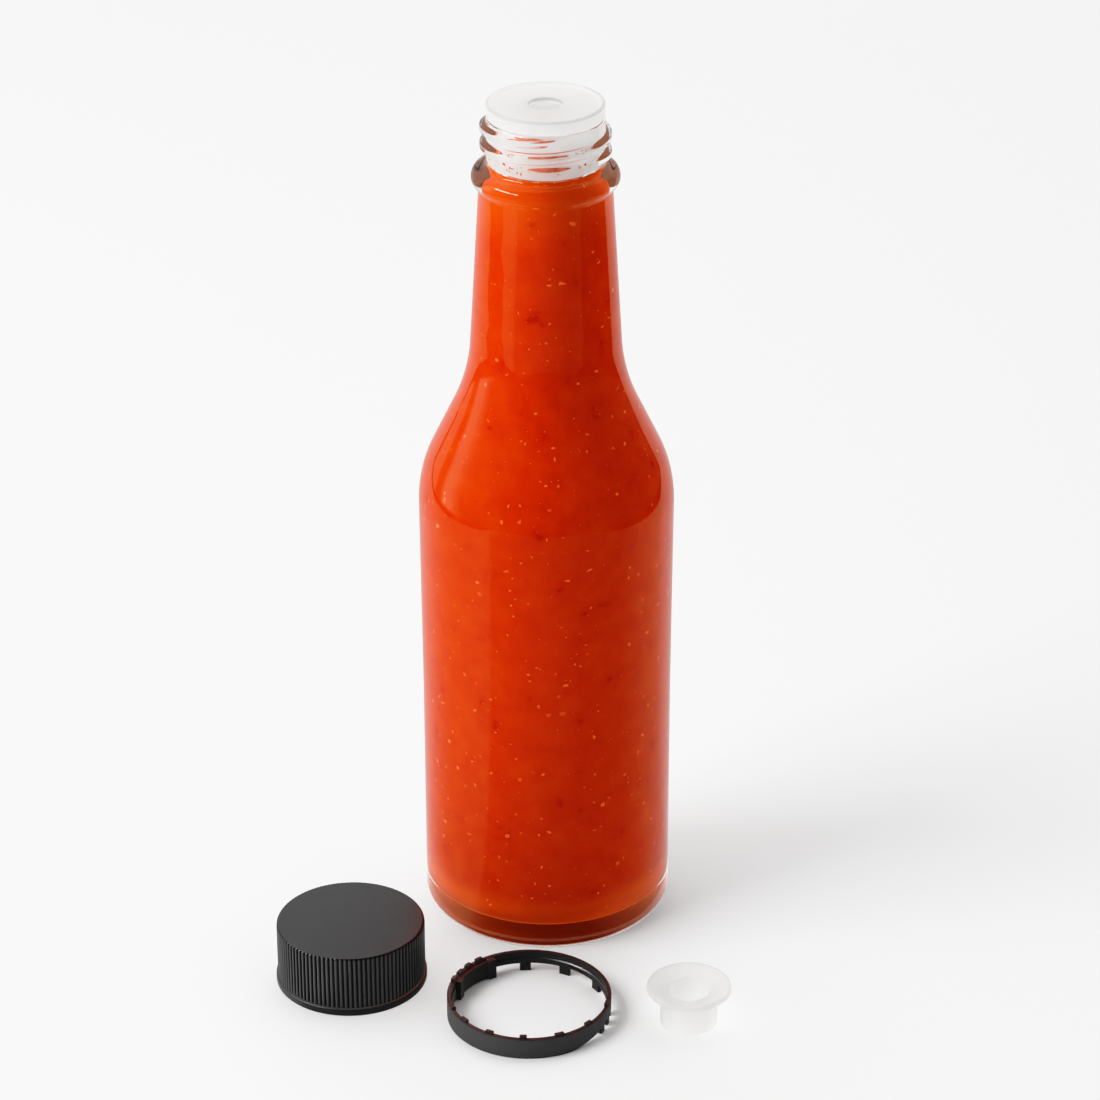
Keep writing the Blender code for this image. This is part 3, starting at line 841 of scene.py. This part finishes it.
def sauce_material():
    """Opaque orange-red sauce with soft mottling and painted light: lighter low down, at the top of
    the neck and on its underside. It throws little of its colour on the floor, and in reflections it
    shows as a painted duller, darker red.
    """
    made, tree = nodes_of("hot_sauce_fine")
    shader = principled(tree, (0.7, 0.06, 0.004), 0.4, Specular_IOR_Level=0.05)
    mottle_and_painted_light = ramp(
        tree,
        noise(tree, 230.0, 4.0, 0.6),
        [
            (0.28, (0.56, 0.034, 0.0010)),
            (0.36, (0.665, 0.058, 0.0014)),
            (0.52, (0.70, 0.066, 0.0018)),
            (0.72, (0.72, 0.080, 0.0026)),
        ],
    )
    height = radial(tree)[1]
    # Painted light: the sauce is made lighter low down, at the top of the neck and on its underside.
    mottle_and_painted_light = blend(tree, span(tree, height, 0.0125, 0.0090, 0.0, 0.6), mottle_and_painted_light, (0.84, 0.120, 0.003))
    mottle_and_painted_light = blend(tree, span(tree, height, 0.1400, 0.1520, 0.0, 0.5), mottle_and_painted_light, (0.80, 0.125, 0.006))
    mottle_and_painted_light = blend(tree, span(tree, height, 0.0062, 0.0054), mottle_and_painted_light, (1.0, 0.17, 0.004))
    tree.links.new(mottle_and_painted_light, shader.inputs["Base Color"])
    surface = shader.outputs["BSDF"]
    # Painted reflection: seen in gloss the sauce is a dull darker red, with its underside lighter.
    dim = plain(tree, (0.25, 0.10, 0.062))
    shade = blend(tree, span(tree, height, 0.0062, 0.0054), (0.25, 0.10, 0.062), (1.0, 0.17, 0.02))
    tree.links.new(shade, dim.node.inputs["Color"])
    surface = by_ray(tree, "Is Glossy Ray", surface, dim)
    surface = by_ray(tree, "Is Transmission Ray", surface, shader.outputs["BSDF"])
    surface = by_ray(tree, "Is Diffuse Ray", surface, plain(tree, (0.32, 0.22, 0.20)))
    output(tree, surface)
    return made


def film_material():
    made, tree = nodes_of("sauce_film_fine")
    shader = principled(tree, (0.72, 0.22, 0.13), 0.3)
    tint = ramp(
        tree, noise(tree, 900.0), [(0.35, (0.66, 0.12, 0.05)), (0.65, (0.80, 0.27, 0.16))]
    )
    tree.links.new(tint, shader.inputs["Base Color"])
    output(tree, shader.outputs["BSDF"])
    return made


def speck_material():
    made, tree = nodes_of("sauce_speck_fine")
    shader = principled(tree, (0.9, 0.2, 0.03), 0.5, Specular_IOR_Level=0.05)
    tint = ramp(
        tree, noise(tree, 300.0), [(0.35, (0.82, 0.12, 0.020)), (0.65, (0.96, 0.23, 0.075))]
    )
    tree.links.new(tint, shader.inputs["Base Color"])
    output(tree, shader.outputs["BSDF"])
    return made


def foam_material():
    made, tree = nodes_of("sauce_foam_fine")
    shader = principled(tree, (0.85, 0.3, 0.12), 0.25)
    tint = ramp(
        tree, noise(tree, 900.0), [(0.35, (0.72, 0.13, 0.03)), (0.65, (0.94, 0.52, 0.30))]
    )
    tree.links.new(tint, shader.inputs["Base Color"])
    output(tree, shader.outputs["BSDF"])
    return made


def residue_material():
    made, tree = nodes_of("sauce_residue_fine")
    shader = principled(tree, (0.8, 0.15, 0.02), 0.3)
    tint = ramp(
        tree, noise(tree, 700.0), [(0.35, (0.74, 0.10, 0.012)), (0.65, (0.90, 0.30, 0.08))]
    )
    tree.links.new(tint, shader.inputs["Base Color"])
    output(tree, shader.outputs["BSDF"])
    return made


def flake_material():
    made, tree = nodes_of("sauce_flake_fine")
    shader = principled(tree, (0.35, 0.01, 0.002), 0.5, Specular_IOR_Level=0.05)
    tint = ramp(
        tree, noise(tree, 300.0), [(0.35, (0.50, 0.018, 0.001)), (0.65, (0.62, 0.034, 0.002))]
    )
    tree.links.new(tint, shader.inputs["Base Color"])
    output(tree, shader.outputs["BSDF"])
    return made


def milky_material(name, see_through, shade=1.0, lines=False):
    """Natural plastic: milky, softly glossy, and partly see-through; shade scales its colour down as
    painted shade.
    Lines of painted shade darken the moulded edge of the fitted insert and the wall of its hole."""
    made, tree = nodes_of(name)
    shader = principled(tree, (0.95, 0.95, 0.945), 0.3, Transmission_Weight=0.45, IOR=1.42)
    low = tuple(shade * part for part in (0.945, 0.945, 0.94))
    high = tuple(shade * part for part in (0.965, 0.965, 0.96))
    tint = ramp(tree, noise(tree, 500.0), [(0.3, low), (0.7, high)])
    if lines:
        away, height = radial(tree)
        # Painted shade: a grey line along the moulded rim and a darker wall in the hole.
        rim = both(tree, span(tree, away, 0.0102, 0.0105), span(tree, height, 0.16665, 0.16695))
        hole = both(tree, span(tree, away, 0.0033, 0.00315), span(tree, height, 0.1661, 0.1665))
        tint = blend(tree, rim, tint, (0.60, 0.60, 0.61))
        tint = blend(tree, hole, tint, (0.36, 0.35, 0.35))
    tree.links.new(tint, shader.inputs["Base Color"])
    through = tree.nodes.new("ShaderNodeBsdfTranslucent")
    through.inputs["Color"].default_value = (*high, 1.0)
    mix = tree.nodes.new("ShaderNodeMixShader")
    mix.inputs[0].default_value = 0.35
    tree.links.new(shader.outputs["BSDF"], mix.inputs[1])
    tree.links.new(through.outputs["BSDF"], mix.inputs[2])
    clear = tree.nodes.new("ShaderNodeBsdfTransparent")
    veil = tree.nodes.new("ShaderNodeMixShader")
    veil.inputs[0].default_value = see_through
    tree.links.new(mix.outputs["Shader"], veil.inputs[1])
    tree.links.new(clear.outputs["BSDF"], veil.inputs[2])
    output(tree, veil.outputs["Shader"])
    return made


def black_plastic(name, colour_of):
    """Black satin plastic, with its colour from a function of the node tree and mottled tint."""
    made, tree = nodes_of(name)
    shader = principled(tree, (0.056, 0.056, 0.057), 0.32, Specular_IOR_Level=1.0)
    tint = ramp(tree, noise(tree, 200.0), [(0.3, (0.053, 0.053, 0.054)), (0.7, (0.059, 0.059, 0.060))])
    tree.links.new(colour_of(tree, tint), shader.inputs["Base Color"])
    output(tree, shader.outputs["BSDF"])
    return made


def cap_colour(tree, tint):
    """Painted shade in the grooves between the ribs and painted highlights on their paler crests, a
    bevel above them painted dark as shade, and the plain top and lip.
    """
    away, height = radial(tree, CAP_PLACE)
    # Painted shade darkens the grooves and the bevel; painted highlights make the crests paler.
    crest = span(tree, away, CAP_RADIUS - 0.00022, CAP_RADIUS - 0.00004)
    side = blend(tree, crest, (0.012, 0.012, 0.012), (0.110, 0.110, 0.111))
    side = blend(tree, span(tree, height, CAP_LIP_HEIGHT + 0.0002, CAP_LIP_HEIGHT), side, tint)
    return blend(tree, span(tree, height, CAP_HEIGHT - 0.00008, CAP_HEIGHT - 0.00001), side, tint)


def ring_colour(tree, tint):
    """A paler outside below the top edge: a painted reflection of the pale floor."""
    away, height = radial(tree, RING_PLACE)
    outside = span(tree, away, RING_RADIUS - 0.00025, RING_RADIUS - 0.00008)
    below = span(tree, height, RING_HEIGHT - 0.00005, RING_HEIGHT - 0.00025)
    return blend(tree, both(tree, outside, below), tint, (0.105, 0.105, 0.107))


def floor_material():
    made, tree = nodes_of("pale_floor")
    shader = principled(tree, (0.90, 0.90, 0.90), 0.7, Specular_IOR_Level=0.2)
    tree.links.new(
        ramp(tree, noise(tree, 2.0), [(0.3, (0.895, 0.895, 0.895)), (0.7, (0.905, 0.905, 0.905))]),
        shader.inputs["Base Color"],
    )
    output(tree, shader.outputs["BSDF"])
    return made


def flat_card(name, material, corners):
    """A stage sheet through these corners."""
    mesh = bpy.data.meshes.new(name)
    mesh.from_pydata(corners, [], [tuple(range(len(corners)))])
    mesh.materials.append(material)
    card = bpy.data.objects.new(name, mesh)
    bpy.context.scene.collection.objects.link(card)
    return card


def heading(tree, vector):
    """Compass angle of a direction in degrees: 0 towards the front, 90 to the right."""
    split = tree.nodes.new("ShaderNodeSeparateXYZ")
    tree.links.new(vector, split.inputs[0])
    flip = add_node(tree, "ShaderNodeMath", operation="MULTIPLY")
    flip.inputs[1].default_value = -1.0
    tree.links.new(split.outputs["Y"], flip.inputs[0])
    turn = add_node(tree, "ShaderNodeMath", operation="ARCTAN2")
    tree.links.new(split.outputs["X"], turn.inputs[0])
    tree.links.new(flip.outputs[0], turn.inputs[1])
    degrees = add_node(tree, "ShaderNodeMath", operation="DEGREES")
    tree.links.new(turn.outputs[0], degrees.inputs[0])
    return degrees.outputs[0], split.outputs["Z"]


def round_the_room(tree, turn, stops, tint=(1.0, 1.0, 1.0)):
    """Brightness by compass angle through (degrees, brightness) stops, tinted except at the back."""
    share = add_node(tree, "ShaderNodeMapRange")
    share.inputs["From Min"].default_value = -180.0
    share.inputs["From Max"].default_value = 180.0
    tree.links.new(turn, share.inputs["Value"])
    shades = []
    for place, level in stops:
        colour = tint if abs(place) < ROOM_TINT_DEG else (1.0, 1.0, 1.0)
        shades.append(((place + 180.0) / 360.0, tuple(level * part for part in colour)))
    return ramp(tree, share.outputs["Result"], shades)


TABLE_GLOW = [
    (-180, 0.60),
    (-127, 0.66),
    (-107, 0.56),
    (-86, 0.43),
    (-64, 0.49),
    (-50, 0.49),
    (-47, 0.19),
    (-2, 0.22),
    (36, 0.16),
    (65, 0.24),
    (88, 0.50),
    (110, 0.52),
    (124, 0.66),
    (180, 0.60),
]
ROOM_GLOW = [
    (-180, 0.50),
    (-135, 0.58),
    (-120, 0.70),
    (-116.5, 0.13),
    (-110, 0.13),
    (-104.5, 1.25),
    (-95, 1.25),
    (-88, 0.62),
    (-82, 0.24),
    (-72, 0.11),
    (-40, 0.05),
    (-28, 0.01),
    (15.5, 0.01),
    (17, 0.10),
    (95, 0.12),
    (130, 0.16),
    (137, 0.45),
    (180, 0.45),
]
ROOM_TINT = (1.0, 0.94, 0.87)
ROOM_TINT_DEG = 134.0
ROOM_FILL = [
    (-180, 0.95),
    (-104, 0.85),
    (-95, 0.60),
    (-50, 0.45),
    (-12, 0.02),
    (20, 0.03),
    (45, 0.28),
    (75, 0.65),
    (100, 0.85),
    (124, 0.95),
    (180, 0.95),
]
TABLE_NEAR = [
    (-180, 0.60),
    (-90, 0.72),
    (-50, 0.72),
    (-38, 0.22),
    (25, 0.18),
    (45, 0.50),
    (90, 0.60),
    (180, 0.60),
]
TABLE_NEAR_REACH = (0.031, 0.046)
# Radii of a bright ring round the bottle's foot, a painted reflection of the floor there.
TABLE_FOOT = (0.0252, 0.0286)
TABLE_OUTLINE = [
    (-0.352, -0.47),
    (0.33, -0.47),
    (0.30, 0.15),
    (0.39, 0.26),
    (0.60, 0.51),
    (1.50, 1.29),
    (6.0, 5.0),
    (-6.0, 5.0),
    (-0.73, 0.73),
    (-0.43, 0.33),
    (-0.352, 0.17),
]
TABLE_RIM = 0.035


def widened(outline, width):
    """The outline moved outward by a width. Its corners run anticlockwise."""
    corners = [Vector(corner) for corner in outline]
    rows = []
    for before, here, after in zip(corners[-1:] + corners[:-1], corners, corners[1:] + corners[:1]):
        arriving = (here - before).normalized()
        leaving = (after - here).normalized()
        first = Vector((arriving.y, -arriving.x))
        second = Vector((leaving.y, -leaving.x))
        rows.append(tuple(here + (first + second) * width / (1.0 + first.dot(second))))
    return rows


def make_stage():
    reach = 6.0
    floor = flat_card(
        "floor",
        floor_material(),
        [(-reach, -reach, 0.0), (reach, -reach, 0.0), (reach, reach, 0.0), (-reach, reach, 0.0)],
    )
    floor.visible_glossy = False
    dark, tree = nodes_of("table_rim")
    glow = tree.nodes.new("ShaderNodeEmission")
    shade = ramp(tree, noise(tree, 3.0), [(0.0, (0.0, 0.0, 0.0)), (1.0, (0.01, 0.01, 0.01))])
    tree.links.new(shade, glow.inputs["Color"])
    output(tree, glow.outputs["Emission"])
    made, tree = nodes_of("table_glow")
    place = tree.nodes.new("ShaderNodeTexCoord")
    turn = heading(tree, place.outputs["Object"])[0]
    away = radial(tree)[0]
    near = span(tree, away, TABLE_NEAR_REACH[1], TABLE_NEAR_REACH[0])
    shade = blend(
        tree, near, round_the_room(tree, turn, TABLE_GLOW), round_the_room(tree, turn, TABLE_NEAR)
    )
    # Painted reflection: a bright ring round the bottle's foot on the table seen only in gloss.
    inside, outside = TABLE_FOOT
    foot = both(
        tree, span(tree, away, inside, inside + 0.0006), span(tree, away, outside, outside - 0.0006)
    )
    shade = blend(tree, foot, shade, (0.95, 0.95, 0.95))
    glow = tree.nodes.new("ShaderNodeEmission")
    tree.links.new(shade, glow.inputs["Color"])
    output(tree, glow.outputs["Emission"])
    table = [(x, y, -0.0002) for x, y in TABLE_OUTLINE]
    rim = [(x, y, -0.0005) for x, y in widened(TABLE_OUTLINE, TABLE_RIM)]
    for name, material, corners in (("table_in_gloss", made, table), ("rim_in_gloss", dark, rim)):
        card = flat_card(name, material, corners)
        card.visible_camera = False
        card.visible_diffuse = False
        card.visible_transmission = False
        card.visible_shadow = False


def make_world():
    """A pale backdrop for the eye, a soft fill for dull surfaces and a darker room in gloss."""
    world = bpy.data.worlds.new("studio")
    bpy.context.scene.world = world
    world.use_nodes = True
    tree = world.node_tree
    tree.nodes.clear()
    place = tree.nodes.new("ShaderNodeTexCoord")
    turn, height = heading(tree, place.outputs["Generated"])
    room = round_the_room(tree, turn, ROOM_GLOW, ROOM_TINT)
    room = blend(tree, span(tree, height, -0.22, -0.18), (0.02, 0.015, 0.01), room)
    path = tree.nodes.new("ShaderNodeLightPath")
    fill = round_the_room(tree, turn, ROOM_FILL)
    dull = blend(tree, path.outputs["Is Diffuse Ray"], room, fill)
    seen = blend(tree, path.outputs["Is Transmission Ray"], dull, (0.93, 0.93, 0.93))
    shown = blend(tree, path.outputs["Is Camera Ray"], seen, (0.93, 0.93, 0.93))
    glow = tree.nodes.new("ShaderNodeBackground")
    tree.links.new(shown, glow.inputs["Color"])
    out = tree.nodes.new("ShaderNodeOutputWorld")
    tree.links.new(glow.outputs["Background"], out.inputs["Surface"])


def area_light(name, place, target, size, power, tint=(1.0, 1.0, 1.0)):
    data = bpy.data.lights.new(name, "AREA")
    data.shape = "RECTANGLE"
    data.size, data.size_y = size
    data.energy = power
    data.color = tint
    lamp = bpy.data.objects.new(name, data)
    lamp.location = place
    lamp.rotation_euler = (Vector(target) - Vector(place)).to_track_quat("-Z", "Y").to_euler()
    bpy.context.scene.collection.objects.link(lamp)
    return lamp


def toward(heading_deg, rise_deg, distance):
    """A place at a compass heading and a rise above the horizon, seen from the origin."""
    turn = math.radians(heading_deg)
    rise = math.radians(rise_deg)
    return (
        distance * math.sin(turn) * math.cos(rise),
        -distance * math.cos(turn) * math.cos(rise),
        distance * math.sin(rise),
    )


def make_lights(milky_pieces):
    middle = (0.0, 0.0, 0.08)
    key = area_light("key", toward(-70, 42, 1.0), middle, (0.55, 0.55), 5.6)
    overhead = area_light("overhead", (0.0, 1.1, 1.4), (0.0, 0.6, 0.0), (1.5, 1.5), 9.0)
    for lamp in (key, overhead):
        lamp.visible_glossy = False
        lamp.visible_transmission = False
    glint = area_light("glint", toward(-70, 42, 0.9), middle, (0.55, 0.14), 3.5)
    glint.visible_diffuse = False
    glint.visible_transmission = False
    soft = area_light("milky_fill", toward(0, 15, 0.8), middle, (0.6, 0.6), 1.6)
    soft.visible_glossy = False
    soft.visible_transmission = False
    lit = bpy.data.collections.new("milky_pieces")
    for piece in milky_pieces:
        lit.objects.link(piece)
    soft.light_linking.receiver_collection = lit


def make_camera():
    data = bpy.data.cameras.new("camera")
    data.lens = CAMERA_LENS_MM
    data.shift_x = CAMERA_SHIFT_X
    data.clip_start = 0.05
    data.clip_end = 30.0
    camera = bpy.data.objects.new("camera", data)
    tilt = Matrix.Rotation(math.radians(90.0 - CAMERA_PITCH_DEG), 4, "X")
    camera.matrix_world = (
        Matrix.Translation(CAMERA_PLACE) @ tilt @ Matrix.Rotation(-CAMERA_ROLL, 4, "Z")
    )
    bpy.context.scene.collection.objects.link(camera)
    bpy.context.scene.camera = camera


TONE_CURVE = (
    (0.0, 0.0),
    (0.02, 0.003),
    (0.05, 0.016),
    (0.10, 0.066),
    (0.20, 0.18),
    (0.40, 0.41),
    (0.60, 0.67),
    (0.80, 0.85),
    (0.92, 0.915),
    (1.0, 0.945),
)


def set_tone():
    """The picture's contrast: deep shadows sink and the brightest tones level off."""
    view = bpy.context.scene.view_settings
    view.view_transform = "Standard"
    view.use_curve_mapping = True
    view.curve_mapping.extend = "HORIZONTAL"
    curve = view.curve_mapping.curves[3]
    for index, (tone, shown) in enumerate(TONE_CURVE):
        if index == 0:
            curve.points[0].location = (tone, shown)
        elif index == len(TONE_CURVE) - 1:
            curve.points[-1].location = (tone, shown)
        else:
            curve.points.new(tone, shown)
    for point in curve.points:
        point.handle_type = "AUTO_CLAMPED"
    view.curve_mapping.update()


make_camera()
make_glass()
make_sauce()
make_specks()
make_foam()
make_films()
milky = [make_fitted_insert(), make_spare_insert()]
make_cap()
make_ring()
make_stage()
make_world()
make_lights(milky)
set_tone()
